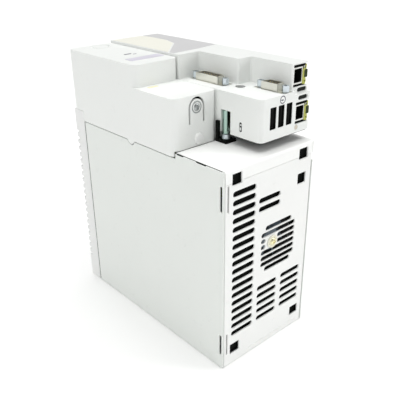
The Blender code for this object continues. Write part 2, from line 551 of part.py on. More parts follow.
def fan():
    """Axial fan behind the end plate; the rotor turns about an axis along Y."""
    black = material("fan_black", (0.05, 0.05, 0.055), 0.5)
    grey = material("fan_grey", (0.20, 0.24, 0.28), 0.45)
    front = Y0 + SHEET + 6.0
    back = front + FAN_DEPTH
    half = FAN_SIZE / 2
    frame = rounded(FAN_X - half, FAN_Z - half, FAN_X + half, FAN_Z + half, 3.0)
    spokes = [(rect(FAN_X - 19.3, FAN_Z - 1.2, FAN_X + 19.3, FAN_Z + 1.2), "Y", back - 2.0, back - 0.1),
              (rect(FAN_X - 1.2, FAN_Z - 19.3, FAN_X + 1.2, FAN_Z + 19.3), "Y", back - 2.0, back - 0.1),
              (circle(FAN_X, FAN_Z, 8.5, 20), "Y", back - 2.6, back - 0.2)]
    bore = [(circle(FAN_X, FAN_Z, 18.8, 32), "Y", front - 2, back + 2)]
    shroud = solid("fan_frame", black, [(frame, "Y", front, back)], cuts=[bore])
    for number, prism in enumerate(spokes):
        combine(shroud, [prism], "UNION", number)
    smooth_round(shroud)
    axis = bpy.data.objects.new("fan_axis", None)
    bpy.context.scene.collection.objects.link(axis)
    axis.location = (FAN_X * MM, (front + FAN_DEPTH / 2) * MM, FAN_Z * MM)
    rotor = new_object("fan_rotor", mesh_of("fan_rotor", [(circle(0, 0, 9.0, 28), "Y", -6.5, 4.4)]))
    rotor.data.materials.append(grey)
    rotor.parent = axis
    for i in range(BLADES):
        blade = helper(f"blade_{i}", blade_mesh(2 * pi * i / BLADES))
        blade.parent = axis
        modifier = rotor.modifiers.new(f"blade_{i}", "BOOLEAN")
        modifier.operation = "UNION"
        modifier.solver = "EXACT"
        modifier.object = blade
    smooth_round(rotor)


def blade_mesh(angle):
    """One pitched fan blade, swept through the hub's depth."""
    bm = bmesh.new()
    rings = []
    for r in (8.0, 13.0, 17.6):
        ring = []
        for depth, lead, thick in ((-5.0, -0.33, 0.0), (3.5, 0.33, 0.0), (3.5, 0.33, 1.2), (-5.0, -0.33, 1.2)):
            a = angle + lead + thick / r
            ring.append(bm.verts.new((r * cos(a) * MM, depth * MM, r * sin(a) * MM)))
        rings.append(ring)
    for a, b in zip(rings, rings[1:]):
        for i in range(4):
            j = (i + 1) % 4
            bm.faces.new((a[i], a[j], b[j], b[i]))
    bm.faces.new(rings[0])
    bm.faces.new(rings[-1])
    bmesh.ops.recalc_face_normals(bm, faces=bm.faces)
    mesh = bpy.data.meshes.new("blade")
    bm.to_mesh(mesh)
    bm.free()
    return mesh


for old in list(bpy.data.objects):
    bpy.data.objects.remove(old, do_unlink=True)
side_panels()
fan_end()
heat_sink()
mounting_plate()
vent_cap()
front_housing()
control_housing()
dsubs()
jacks()
headers()
indicators()
button()
ground_terminal()
power_connectors()
boards()
power_parts()
fan()
screws()
labels()
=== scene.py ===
"""Looks of a compact servo drive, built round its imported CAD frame. Sizes are in millimetres."""
from math import asin, cos, pi, radians, sin

import bmesh
import bpy
from mathutils import Matrix, Vector


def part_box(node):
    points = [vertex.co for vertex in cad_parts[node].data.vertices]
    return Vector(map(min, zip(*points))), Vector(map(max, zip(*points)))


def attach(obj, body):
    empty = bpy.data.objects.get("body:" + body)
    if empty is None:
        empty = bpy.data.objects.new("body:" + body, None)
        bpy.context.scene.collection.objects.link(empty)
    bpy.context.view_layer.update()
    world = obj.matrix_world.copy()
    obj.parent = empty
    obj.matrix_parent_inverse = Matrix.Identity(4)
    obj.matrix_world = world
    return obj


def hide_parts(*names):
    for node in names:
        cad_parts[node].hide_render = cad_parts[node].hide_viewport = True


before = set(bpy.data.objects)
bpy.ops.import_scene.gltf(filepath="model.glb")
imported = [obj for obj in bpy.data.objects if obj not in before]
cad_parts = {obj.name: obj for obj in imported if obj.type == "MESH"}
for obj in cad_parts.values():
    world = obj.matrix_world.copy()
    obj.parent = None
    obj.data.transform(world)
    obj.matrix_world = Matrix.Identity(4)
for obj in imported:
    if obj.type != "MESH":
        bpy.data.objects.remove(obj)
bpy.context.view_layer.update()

MM = 0.001
SHARP_ANGLE = 35                # degrees between faces from which an edge counts as sharp


def box_mm(node):
    """Lowest and highest corner of a CAD node, in millimetres."""
    low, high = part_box(node)
    return low / MM, high / MM


# ---- places read from the frame ---------------------------------------------------------------
PANEL_EDGE_Y = box_mm("side_panel_left")[1].y
DECK_LOW, DECK_HIGH = box_mm("deck_plate")
PLATE_LOW, PLATE_HIGH = box_mm("fan_end_plate")
CAP_LOW, CAP_HIGH = box_mm("vent_cap")
FRONT_LOW, FRONT_HIGH = box_mm("front_housing")
CONTROL_LOW, CONTROL_HIGH = box_mm("control_housing")
COVER_LOW, COVER_HIGH = box_mm("control_cover")
RIGHT_EDGE_Y = box_mm("side_panel_right")[1].y

X0, X1 = CAP_LOW.x, CAP_HIGH.x
Y0, Y1 = PLATE_LOW.y, CAP_HIGH.y
DECK_Z = DECK_HIGH.z
SHEET = PLATE_HIGH.y - PLATE_LOW.y
CAP_Y, CAP_Z = CAP_LOW.y, CAP_HIGH.z
STEP_Y = FRONT_LOW.y
FRONT_X1 = FRONT_HIGH.x
SPLIT_X = CONTROL_LOW.x
MODULE_Y = CONTROL_LOW.y
TOP_Z = CONTROL_HIGH.z
FRONT_Z = FRONT_HIGH.z
PANEL_TOP = DECK_LOW.z
WALL = 2.0
GAP = 0.3
SEAM_Z = DECK_Z - 4.0           # seam between the side sheets and the housings
SEAM_DROP = 0.35                # extra lowering of the sheet at the housing seam
MID_Z = DECK_Z + 39.0           # top of the lower block and of the connector deck
MODULE_Z = DECK_Z + 7.6         # underside of the overhanging module
RAISE_Y = 0.0                   # face of the raised block
MID_X, MID_Y = 16.4, -43.8      # first step of the tall part
TALL_X, TALL_Y = 30.1, -84.4    # second step of the tall part and its face
LEDGE_Z = 202.2                 # the tall face comes down to here beside the sockets
SLITS = ((12.6, 30.6), (136.2, 155.0))              # corner slits: lower and upper end
FAN_X, FAN_Z = 11.4, 90.1
TONGUE = (-26.0, 195.8)                             # middle of the screw tongue, X and Z
PLUG = (-24.3, 171.9)                               # middle of the round plug, X and Z
ROUND_MARK = (-22.4, 84.0, 8.2)                     # X, Y and radius of the round groove
SIDE_SLOT = (-68.0, 181.5)                          # middle of the slot in the module's side, Y and Z
HEADER_X = (7.2, 15.9, 24.6)
HEADER_Z0, HEADER_Z1 = 181.7, 197.7
JACK_LEFT = 31.6                                    # left edge of the data sockets' windows
JACK_Z = (214.6, 187.9)                             # middle of each data socket
LIGHTS = ((41.9, 204.2), (39.4, 199.4))             # middle of each light slot, X and Z
SIDE_SCREWS = ((-84.0, 12.0), (70.0, 12.0), (-36.0, 150.0), (70.0, 150.0))


# ---- outlines ---------------------------------------------------------------------------------
def rect(u0, v0, u1, v1):
    """Corners of a rectangle in a plane with axes u and v."""
    return [(u0, v0), (u1, v0), (u1, v1), (u0, v1)]


def arc(cu, cv, r, start, end, steps):
    return [(cu + r * cos(start + (end - start) * i / steps),
             cv + r * sin(start + (end - start) * i / steps)) for i in range(steps + 1)]


def rounded(u0, v0, u1, v1, r, steps=8):
    return (arc(u1 - r, v0 + r, r, -pi / 2, 0, steps) + arc(u1 - r, v1 - r, r, 0, pi / 2, steps)
            + arc(u0 + r, v1 - r, r, pi / 2, pi, steps) + arc(u0 + r, v0 + r, r, pi, 1.5 * pi, steps))


def slot(cu, cv, length, height):
    """Round-ended slot along u."""
    r = height / 2
    steps = 10
    return (arc(cu + length / 2 - r, cv, r, -pi / 2, pi / 2, steps)
            + arc(cu - length / 2 + r, cv, r, pi / 2, 1.5 * pi, steps))


def slot_up(cu, cv, width, length):
    """Round-ended slot along v."""
    return [(cu + v, cv + u) for u, v in slot(0, 0, length, width)]


def circle(cu, cv, r, sides=40):
    return arc(cu, cv, r, 0, 2 * pi * (sides - 1) / sides, sides - 1)


def fillet(points, radii):
    """Outline with each corner rounded by its own radius; 0 keeps it sharp."""
    steps = 7
    result = []
    count = len(points)
    for i, radius in enumerate(radii):
        p = Vector(points[i])
        before = (Vector(points[i - 1]) - p).normalized()
        after = (Vector(points[(i + 1) % count]) - p).normalized()
        if radius <= 0:
            result.append(tuple(p))
            continue
        start = p + before * radius
        end = p + after * radius
        centre = p + (before + after) * radius
        for k in range(steps + 1):
            t = pi / 2 * k / steps
            q = centre + (start - centre) * cos(t) + (end - centre) * sin(t)
            result.append(tuple(q))
    return result


# ---- meshes -----------------------------------------------------------------------------------
# from outline axes u, v and the prism's own axis w to X, Y, Z
PLACE = {"X": lambda u, v, w: (w, u, v),
         "Y": lambda u, v, w: (u, w, v),
         "Z": lambda u, v, w: (u, v, w)}


def add_prism(bm, outline, axis, low, high):
    rings = []
    for w in (low, high):
        rings.append([bm.verts.new([c * MM for c in PLACE[axis](u, v, w)]) for u, v in outline])
    bm.faces.new(rings[0])
    bm.faces.new(rings[1])
    count = len(outline)
    for i in range(count):
        j = (i + 1) % count
        bm.faces.new((rings[0][i], rings[0][j], rings[1][j], rings[1][i]))


def prism_object(name, prisms):
    """Object made of prisms, each an outline, an axis and its low and high end."""
    bm = bmesh.new()
    for prism in prisms:
        add_prism(bm, *prism)
    bmesh.ops.remove_doubles(bm, verts=bm.verts, dist=1e-6)
    bmesh.ops.recalc_face_normals(bm, faces=bm.faces)
    mesh = bpy.data.meshes.new(name)
    bm.to_mesh(mesh)
    bm.free()
    ob = bpy.data.objects.new(name, mesh)
    bpy.context.scene.collection.objects.link(ob)
    return ob


def apply_modifiers(ob):
    graph = bpy.context.evaluated_depsgraph_get()
    mesh = bpy.data.meshes.new_from_object(ob.evaluated_get(graph))
    ob.modifiers.clear()
    ob.data = mesh


def carve(ob, groups, operation="DIFFERENCE"):
    """Applies each group of prisms to ob as one Boolean."""
    for group in groups:
        tool = prism_object("tool", group)
        modifier = ob.modifiers.new("boolean", "BOOLEAN")
        modifier.operation = operation
        modifier.solver = "EXACT"
        modifier.object = tool
        apply_modifiers(ob)
        bpy.data.objects.remove(tool, do_unlink=True)


def soften(ob, width, segments=3):
    """Rounds the sharp edges and shades the faces smooth between them."""
    bm = bmesh.new()
    bm.from_mesh(ob.data)
    bmesh.ops.remove_doubles(bm, verts=bm.verts, dist=2e-6)
    bmesh.ops.dissolve_limit(bm, angle_limit=radians(1.0), verts=bm.verts, edges=bm.edges)
    bm.to_mesh(ob.data)
    bm.free()
    ob.data.shade_smooth()
    if width > 0:
        bevel = ob.modifiers.new("soft_edges", "BEVEL")
        bevel.width = width * MM
        bevel.segments = segments
        bevel.limit_method = "ANGLE"
        bevel.angle_limit = radians(SHARP_ANGLE)
        bevel.use_clamp_overlap = True
        bevel.miter_outer = "MITER_ARC"
        apply_modifiers(ob)
        flatten_normals(ob.data)
    else:
        ob.data.set_sharp_from_angle(angle=radians(SHARP_ANGLE))


def flatten_normals(mesh):
    """Gives each corner the normal of the largest face that meets it without a sharp turn."""
    around = [[] for _ in mesh.vertices]
    for polygon in mesh.polygons:
        for vertex in polygon.vertices:
            around[vertex].append(polygon)
    normals = []
    for polygon in mesh.polygons:
        for vertex in polygon.vertices:
            total = Vector((0, 0, 0))
            for other in around[vertex]:
                if other.normal.dot(polygon.normal) > 0.5:
                    total += other.normal * (other.area * 1e6) ** 3
            normals.append(total.normalized() if total.length > 0 else polygon.normal.copy())
    mesh.normals_split_custom_set(normals)


def piece(name, look, base, unions=(), cuts=(), edge=0.3, segments=3, replaces=()):
    """One visible piece: prisms, added shapes, cutters, softened edges and material."""
    ob = prism_object(name, base)
    carve(ob, unions, "UNION")
    carve(ob, cuts)
    soften(ob, edge, segments)
    return dress(ob, look, replaces)


def dress(ob, look, replaces=()):
    """Gives a finished piece its material and lets it ride on the case."""
    ob.data.materials.clear()
    ob.data.materials.append(look)
    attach(ob, "case")
    if replaces:
        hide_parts(*replaces)
    return ob


# ---- materials --------------------------------------------------------------------------------
GLOSS_VARIATION = 0.04


def new_material(name):
    mat = bpy.data.materials.new(name)
    mat.use_nodes = True
    tree = mat.node_tree
    return mat, tree, tree.nodes["Principled BSDF"]


def surface(name, color, roughness, metallic=0.0, grain=1400.0, bump=0.15, shade=0.06,
            stretch=(1, 1, 1), specular=0.5, cloud=22.0, wear=0.0):
    """Painted, moulded or plated surface: cloudy colour, uneven gloss and a fine grain in relief."""
    mat, tree, shader = new_material(name)
    nodes, links = tree.nodes, tree.links
    place = nodes.new("ShaderNodeTexCoord")
    scale = nodes.new("ShaderNodeMapping")
    scale.inputs["Scale"].default_value = stretch
    links.new(place.outputs["Object"], scale.inputs["Vector"])
    clouds = nodes.new("ShaderNodeTexNoise")
    clouds.inputs["Scale"].default_value = cloud
    clouds.inputs["Detail"].default_value = 4.0
    links.new(scale.outputs["Vector"], clouds.inputs["Vector"])
    fine = nodes.new("ShaderNodeTexNoise")
    fine.inputs["Scale"].default_value = grain
    fine.inputs["Detail"].default_value = 3.0
    links.new(scale.outputs["Vector"], fine.inputs["Vector"])
    tone = nodes.new("ShaderNodeMapRange")
    tone.inputs["To Min"].default_value = 1.0 - shade
    tone.inputs["To Max"].default_value = 1.0 + shade * 0.4
    links.new(clouds.outputs["Fac"], tone.inputs["Value"])
    tint = nodes.new("ShaderNodeMix")
    tint.data_type = "RGBA"
    tint.blend_type = "MULTIPLY"
    tint.inputs["Factor"].default_value = 1.0
    tint.inputs["A"].default_value = (*color, 1.0)
    links.new(tone.outputs["Result"], tint.inputs["B"])
    last = tint.outputs["Result"]
    if wear > 0:
        scuffs = nodes.new("ShaderNodeTexNoise")
        scuffs.inputs["Scale"].default_value = 160.0
        scuffs.inputs["Detail"].default_value = 6.0
        scuffs.inputs["Roughness"].default_value = 0.7
        links.new(scale.outputs["Vector"], scuffs.inputs["Vector"])
        spread = nodes.new("ShaderNodeMapRange")
        spread.inputs["From Min"].default_value = 0.60
        spread.inputs["From Max"].default_value = 0.78
        spread.inputs["To Max"].default_value = wear
        links.new(scuffs.outputs["Fac"], spread.inputs["Value"])
        worn = nodes.new("ShaderNodeMix")
        worn.data_type = "RGBA"
        worn.inputs["B"].default_value = (*[c * 0.82 for c in color], 1.0)
        links.new(spread.outputs["Result"], worn.inputs["Factor"])
        links.new(last, worn.inputs["A"])
        last = worn.outputs["Result"]
    links.new(last, shader.inputs["Base Color"])
    gloss = nodes.new("ShaderNodeMapRange")
    gloss.inputs["To Min"].default_value = roughness - GLOSS_VARIATION
    gloss.inputs["To Max"].default_value = roughness + GLOSS_VARIATION
    links.new(clouds.outputs["Fac"], gloss.inputs["Value"])
    links.new(gloss.outputs["Result"], shader.inputs["Roughness"])
    relief = nodes.new("ShaderNodeBump")
    relief.inputs["Strength"].default_value = bump
    relief.inputs["Distance"].default_value = 0.0002
    links.new(fine.outputs["Fac"], relief.inputs["Height"])
    links.new(relief.outputs["Normal"], shader.inputs["Normal"])
    shader.inputs["Metallic"].default_value = metallic
    shader.inputs["Specular IOR Level"].default_value = specular
    return mat


PAINT = surface("case_paint", (0.79, 0.815, 0.785), 0.42, grain=900, bump=0.10, shade=0.03, wear=0.5)
# The side, end and deck sheets share one paint. The end copy is lighter and the upward-facing deck copy
# lighter still: painted light.
LIT_DECK_PAINT = surface("deck_paint_painted_light", (0.95, 0.955, 0.94), 0.40, grain=900, bump=0.10, shade=0.02, wear=0.3)
LIT_END_PAINT = surface("end_paint", (0.90, 0.905, 0.89), 0.40, grain=900, bump=0.10, shade=0.03, wear=0.5)
MOULDED = surface("moulded_plastic", (0.845, 0.86, 0.84), 0.46, grain=2200, bump=0.22, shade=0.03, wear=0.35)
CAP_PLASTIC = surface("cap_plastic", (0.83, 0.835, 0.825), 0.48, grain=2200, bump=0.22, shade=0.03, wear=0.3)
BLACK = surface("black_plastic", (0.018, 0.020, 0.018), 0.45, grain=1800, bump=0.2, shade=0.2)
# Near-black: black plastic in some places, and painted shade in others, behind slots, seams, grooves and
# under the module.
DARK = surface("near_black_and_painted_shade", (0.004, 0.005, 0.004), 0.8, grain=700, bump=0.1, shade=0.2, specular=0.1)
ZINC = surface("zinc_plate", (0.62, 0.68, 0.72), 0.28, 1.0, grain=1500, bump=0.15, shade=0.15,
               stretch=(1, 1, 0.1))
STEEL = surface("tin_plate", (0.80, 0.79, 0.72), 0.30, 1.0, grain=1200, bump=0.1, shade=0.1)
YELLOW = surface("yellow_zinc", (0.84, 0.79, 0.54), 0.32, 1.0, grain=1200, bump=0.1, shade=0.2)
GOLD = surface("gold_plate", (0.86, 0.68, 0.25), 0.22, 1.0, grain=900, bump=0.05, shade=0.1)
CREAM = surface("cream_washer", (0.84, 0.82, 0.68), 0.40, grain=1500, bump=0.15, shade=0.1)
BEIGE = surface("beige_button", (0.66, 0.60, 0.50), 0.42, grain=1500, bump=0.15, shade=0.08)
BOARD = surface("board_green", (0.36, 0.42, 0.07), 0.35, grain=500, bump=0.25, shade=0.25, cloud=220)
ALUMINIUM = surface("extruded_aluminium", (0.70, 0.71, 0.72), 0.36, 1.0, grain=900, bump=0.2, shade=0.1,
                    stretch=(1, 0.03, 1))
SLEEVE = surface("capacitor_sleeve", (0.03, 0.06, 0.16), 0.30, grain=900, bump=0.05, shade=0.1)
ROTOR = surface("fan_plastic", (0.16, 0.20, 0.24), 0.40, grain=1500, bump=0.15, shade=0.15)
PIPE = surface("smoked_light_pipe", (0.012, 0.016, 0.013), 0.45, grain=900, bump=0.03, shade=0.1,
               specular=0.1)
LILAC = surface("lilac_film", (0.70, 0.68, 0.76), 0.36, grain=1500, bump=0.05, shade=0.03)
GREY_FILM = surface("grey_film", (0.66, 0.655, 0.66), 0.38, grain=1500, bump=0.05, shade=0.03)
YELLOW_FILM = surface("yellow_film", (0.86, 0.82, 0.55), 0.38, grain=1500, bump=0.05, shade=0.04)
CREAM_FILM = surface("cream_film", (0.90, 0.89, 0.80), 0.38, grain=1500, bump=0.05, shade=0.02)
MARK = surface("grey_mark", (0.06, 0.055, 0.10), 0.45, grain=1500, bump=0.05, shade=0.1)
BLACKENED = surface("blackened_steel", (0.03, 0.03, 0.035), 0.42, 0.2, grain=1500, bump=0.15, shade=0.2)
# Teal tint of the ground post's metal: painted reflection.
POST = surface("post_metal_painted_teal_reflection", (0.36, 0.50, 0.44), 0.22, 1.0, grain=1500, bump=0.08, shade=0.12,
               stretch=(1, 1, 0.1))
BRASS = surface("brass_spring", (0.44, 0.46, 0.10), 0.36, 0.5, grain=900, bump=0.1, shade=0.25, cloud=300)
SHIELD = surface("jack_frame", (0.86, 0.86, 0.82), 0.35, grain=1200, bump=0.08, shade=0.05)
DARK_GREEN = surface("solder_mask", (0.025, 0.04, 0.008), 0.6, grain=700, bump=0.2, shade=0.3,
                     specular=0.2, cloud=300)
GREY_METAL = surface("grey_screw", (0.42, 0.44, 0.44), 0.32, 0.9, grain=1500, bump=0.1, shade=0.12)

# The frame brings a plain material of its own with this name, and it is not BLACK.
FRAME_BLACK = bpy.data.materials["black_plastic"]

NODE_LOOKS = (
    (DARK, ("ground_base",)),
    (FRAME_BLACK, ("mains_connector", "motor_connector", "fan_frame", "power_module", "rectifier",
                   "line_relay", "choke", "transformer", "reset_switch", "dsub15_insert", "dsub9_insert",
                   "header_1", "header_2", "header_3")),
    (BLACKENED, ("cover_screw",)),
    (POST, ("ground_post",)),
    (ZINC, ("ground_screw", "dsub15_jackscrew_a", "dsub15_jackscrew_b", "dsub9_jackscrew_a",
            "dsub9_jackscrew_b", "standoff_1", "standoff_2", "standoff_3", "standoff_4")),
    (STEEL, ("dsub15_shell", "dsub9_shell")),
    (GOLD, ("rj45_upper_contacts", "rj45_lower_contacts")),
    (YELLOW, ("fan_screw",)),
    (CREAM, ("fan_washer",)),
    (BEIGE, ("reset_button",)),
    (BOARD, ("control_board", "connector_board", "power_board")),
    (ALUMINIUM, ("heat_sink", "mounting_plate")),
    (SLEEVE, ("capacitor_1", "capacitor_2", "capacitor_3", "capacitor_4")),
    (ROTOR, ("fan_rotor",)),
    (LILAC, ("label_left",)),
)


def paint_nodes():
    """Materials of the CAD nodes that stay visible as they are."""
    for look, names in NODE_LOOKS:
        for name in names:
            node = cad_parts[name]
            node.data.materials.clear()
            node.data.materials.append(look)


# ---- sheet-metal case -------------------------------------------------------------------------
def side_panel():
    """Left side sheet with a thumb notch in its top edge and slits at the folds."""
    edge_y = PANEL_EDGE_Y - 0.9
    step_y = STEP_Y - GAP
    rise, radius = 1.7, 4.8
    dip = asin(rise / radius)
    notch = arc(10.0, SEAM_Z + rise, radius, 2 * pi - dip, pi + dip, 20)
    top = SEAM_Z - SEAM_DROP
    notch = [(y, z - SEAM_DROP) for y, z in notch]
    outline = ([(Y0, 0), (edge_y, 0), (edge_y, top)] + notch
               + [(step_y - 0.4, top), (step_y - 0.4, DECK_Z - 0.3), (Y0, DECK_Z - 0.3)])
    slits = [(rect(Y0 + 1.5, low, Y0 + 3.7, high), "X", X0 - 1, X0 + 3) for low, high in SLITS]
    slits += [(rect(y0, DECK_Z - 1.0, y1, DECK_Z + 1), "X", X0 - 1, X0 + 3)
              for y0, y1 in ((-77.0, -66.5), (-53.0, -45.5))]
    piece("left_side_sheet", PAINT, [(outline, "X", X0, X0 + SHEET)], cuts=[slits], edge=0.35,
          replaces=["side_panel_left"])


def tongue_groove_painted_shade():
    """Near-black sheet behind the tongue's groove: painted shade in the groove."""
    backing = [(rect(-40.0, 168.0, -12.0, 204.0), "Y", STEP_Y + 3.0, STEP_Y + 3.4)]
    piece("tongue_groove_painted_shade", DARK, backing, edge=0)


def seam_painted_shades():
    """Near-black strips just inside the case seams: painted shade that shows as dark lines in them."""
    x = X0 + SHEET + 0.1
    along = rect(STEP_Y + 3, SEAM_Z - 6, CAP_Y - 1, SEAM_Z + 0.2)
    piece("seam_painted_shade_side", DARK, [(along, "X", x, x + 0.15)], edge=0)
    upright = rect(CAP_Y - 1.3, 0.4, CAP_Y - 0.05, SEAM_Z - 0.5)
    piece("seam_painted_shade_cap", DARK, [(upright, "X", X0 + 0.35, X0 + 0.5)], edge=0)
    end = rect(X1 - SHEET - 2.4, 0.4, X1 - SHEET - 0.35, DECK_Z - 2.0)
    piece("seam_painted_shade_end", DARK, [(end, "Y", Y0 + SHEET + 0.1, Y0 + SHEET + 0.25)], edge=0)
    step = rect(Y0 + 3.0, DECK_Z - 5.0, STEP_Y - 1.0, DECK_Z - 0.2)
    piece("seam_painted_shade_deck", DARK, [(step, "X", x, x + 0.12)], edge=0)


def square_holes():
    """Cutters of the square tool holes."""
    boxes = [rect(-39.9, 9.2, -29.8, 18.5), rect(31.5, 10.4, 41.6, 19.0), rect(-39.7, 153.9, -30.2, 162.6),
             rect(30.7, 153.9, 41.0, 162.6), rect(30.6, 133.7, 40.1, 142.5)]
    return [(box, "Y", Y0 - 2, Y0 + 4) for box in boxes]


def vent_slots():
    """Cutters of the ventilation slots: a column, two lower groups, a pair and the fan's round group."""
    cuts = []
    for row in range(18):
        cuts.append(slot(-27.1, 28.4 + 6.97 * row, 23.4, 4.5))
    for row in range(5):
        cuts.append(slot(0.5, 28.8 + 7.05 * row, 22.8, 4.2))
        cuts.append(slot(28.4, 29.0 + 7.05 * row, 23.3, 4.2))
    cuts.append(slot(-0.2, 126.2, 23.6, 4.2))
    cuts.append(slot(-0.2, 133.2, 23.6, 4.2))
    for row in range(8):
        z = FAN_Z + 5.1 * (row - 3.5)
        length = 30.0 if row in (0, 7) else 38.8
        if row in (4, 5):
            cuts.append(slot(FAN_X - 17.0, z, 5.0, 4.0))
            cuts.append(slot(FAN_X + 9.0, z, 20.8, 4.0))
        else:
            cuts.append(slot(FAN_X, z, length, 4.0))
    return [(outline, "Y", Y0 - 2, Y0 + 4) for outline in cuts]


def fan_end():
    """Slotted end sheet, a near-black sheet behind it as painted shade seen through the slots, and the
    folded deck sheet above it.
    """
    slits = [(rect(-44.0, low - 1.5, -42.6, high), "Y", Y0 - 2, Y0 + 4) for low, high in SLITS]
    fold = [(rect(-22.0 + 9.0 * i, 4.3, -14.5 + 9.0 * i, 4.9), "Y", Y0 - 2, Y0 + 0.35) for i in range(7)]
    piece("perforated_end_sheet", LIT_END_PAINT,
          [(rect(PLATE_LOW.x, 0, PLATE_HIGH.x - 0.6, PLATE_HIGH.z), "Y", Y0, Y0 + SHEET)],
          cuts=[vent_slots() + slits, square_holes(), fold], edge=0.25, segments=2,
          replaces=["fan_end_plate"])
    # Painted shade: near-black sheet standing for the dark inside of the case seen through the slots.
    hole = (circle(FAN_X, FAN_Z, 19.0, 48), "Y", Y0, Y0 + 6)
    dark = [(rect(X0 + 3, 9.0, X1 - 3, PANEL_TOP + 7), "Y", Y0 + SHEET + 1.5, Y0 + SHEET + 2.0)]
    piece("near_black_and_painted_shade", DARK, dark, cuts=[[hole]], edge=0)
    bottom = DECK_Z - SHEET
    bend = 1.6
    side = [(Y0, PANEL_TOP), (Y0 + SHEET, PANEL_TOP), (Y0 + SHEET, bottom), (STEP_Y - GAP, bottom),
            (STEP_Y - GAP, DECK_Z), (Y0, DECK_Z)]
    profile = fillet(side, (0, 0, 0.2, 0, 0, bend))
    ledge = (rect(Y0 + 0.5, PANEL_TOP, STEP_Y - 2 * GAP, DECK_Z), "X", X1 - SHEET, X1)
    pit = [(rect(-8.0, -56.0, 3.4, STEP_Y + 4), "Z", DECK_Z - 4, DECK_Z + 4)]
    joint = [(rect(X1 - 1.7, PANEL_TOP - 1, X1 - 1.0, DECK_Z - 0.8), "Y", Y0 - 2, Y0 + 0.45)]
    piece("folded_deck_sheet", LIT_DECK_PAINT, [(profile, "X", DECK_LOW.x, X1)], unions=[[ledge]],
          cuts=[square_holes(), pit, joint], edge=0.25, segments=2, replaces=["deck_plate"])


# ---- moulded plastics -------------------------------------------------------------------------
def vent_cap():
    """End cap with two rows of slots across its back."""
    hollow = [(rect(X0 + WALL, CAP_Y - 3, X1 - WALL, Y1 - WALL), "Z", 2.0, CAP_Z - WALL)]
    slots = []
    for row in range(21):
        z = 22.0 + 6.3 * row
        slots.append((rect(X0 - 2, z, -2.5, z + 2.9), "Y", Y1 - 3.6, Y1 + 2))
        slots.append((rect(2.5, z, X1 + 2, z + 2.9), "Y", Y1 - 3.6, Y1 + 2))
    piece("slotted_end_cap", CAP_PLASTIC, [(rounded(X0, CAP_Y, X1, Y1, 1.2, 4), "Z", 0, CAP_Z)],
          cuts=[hollow, slots], edge=0.35, segments=2, replaces=["vent_cap"])


def front_housing():
    """Lower and raised block, with the tongue's groove and the round groove."""
    corner = 5.5
    x1 = FRONT_X1
    low = (rounded(X0, STEP_Y, x1, Y1, corner), "Z", SEAM_Z + GAP, MID_Z)
    high = (rounded(X0, RAISE_Y, x1, Y1, corner), "Z", MID_Z - 6, FRONT_Z)
    lug = (arc(10.0, SEAM_Z + 1.7, 4.5, pi, 2 * pi, 20), "X", X0, X0 + WALL)
    inner = corner - WALL
    cavity = [(rounded(X0 + WALL, STEP_Y + WALL, x1 - WALL, Y1 - WALL, inner), "Z", 150, MID_Z - WALL)]
    upper = [(rounded(X0 + WALL, RAISE_Y + WALL, x1 - WALL, Y1 - WALL, inner), "Z",
              MID_Z - 12, FRONT_Z - WALL)]
    clear_cap = [(rect(X0 - 2, CAP_Y - GAP, 0, Y1 + 2), "Z", 150, CAP_Z + GAP)]
    clear_deck = [(rect(X0 + SHEET + GAP, STEP_Y - 2, 0, STEP_Y + 4), "Z", 150, DECK_Z + GAP)]
    u, v = TONGUE
    outer = arc(u, v, 7.7, 0, pi, 24)
    back = arc(u, v, 6.0, pi, 0, 24)
    groove = [([(u + 7.7, v - 12.0)] + outer + [(u - 7.7, v - 12.0), (u - 6.0, v - 12.0)] + back
               + [(u + 6.0, v - 12.0)], "Y", STEP_Y - 2, STEP_Y + 4)]
    holes = [(circle(u, v, 2.2), "Y", STEP_Y - 2, STEP_Y + 4),
             (circle(*PLUG, 3.0), "Y", STEP_Y - 2, STEP_Y + 4),
             (rect(-42.0, 177.0, -11.0, 199.0), "Y", Y1 - 5, Y1 + 3)]
    x, y, r = ROUND_MARK
    ring = [(arc(x, y, r, 0, 1.999 * pi, 64) + arc(x, y, r - 1.3, 1.999 * pi, 0, 64), "Z",
             FRONT_Z - 0.6, FRONT_Z + 2)]
    piece("front_shell", MOULDED, [low], unions=[[high], [lug]],
          cuts=[cavity, upper, clear_cap, clear_deck, groove, holes, ring],
          edge=0.8, segments=4, replaces=["front_housing"])


def control_outline(inset=0.0):
    """Stepped outline of the tall part."""
    left = SPLIT_X + inset
    return [(left, RAISE_Y + inset), (MID_X + inset, RAISE_Y + inset), (MID_X + inset, MID_Y + inset),
            (TALL_X + inset, MID_Y + inset), (TALL_X + inset, TALL_Y + inset), (X1 - inset, TALL_Y + inset),
            (X1 - inset, Y1 - inset), (left, Y1 - inset)]


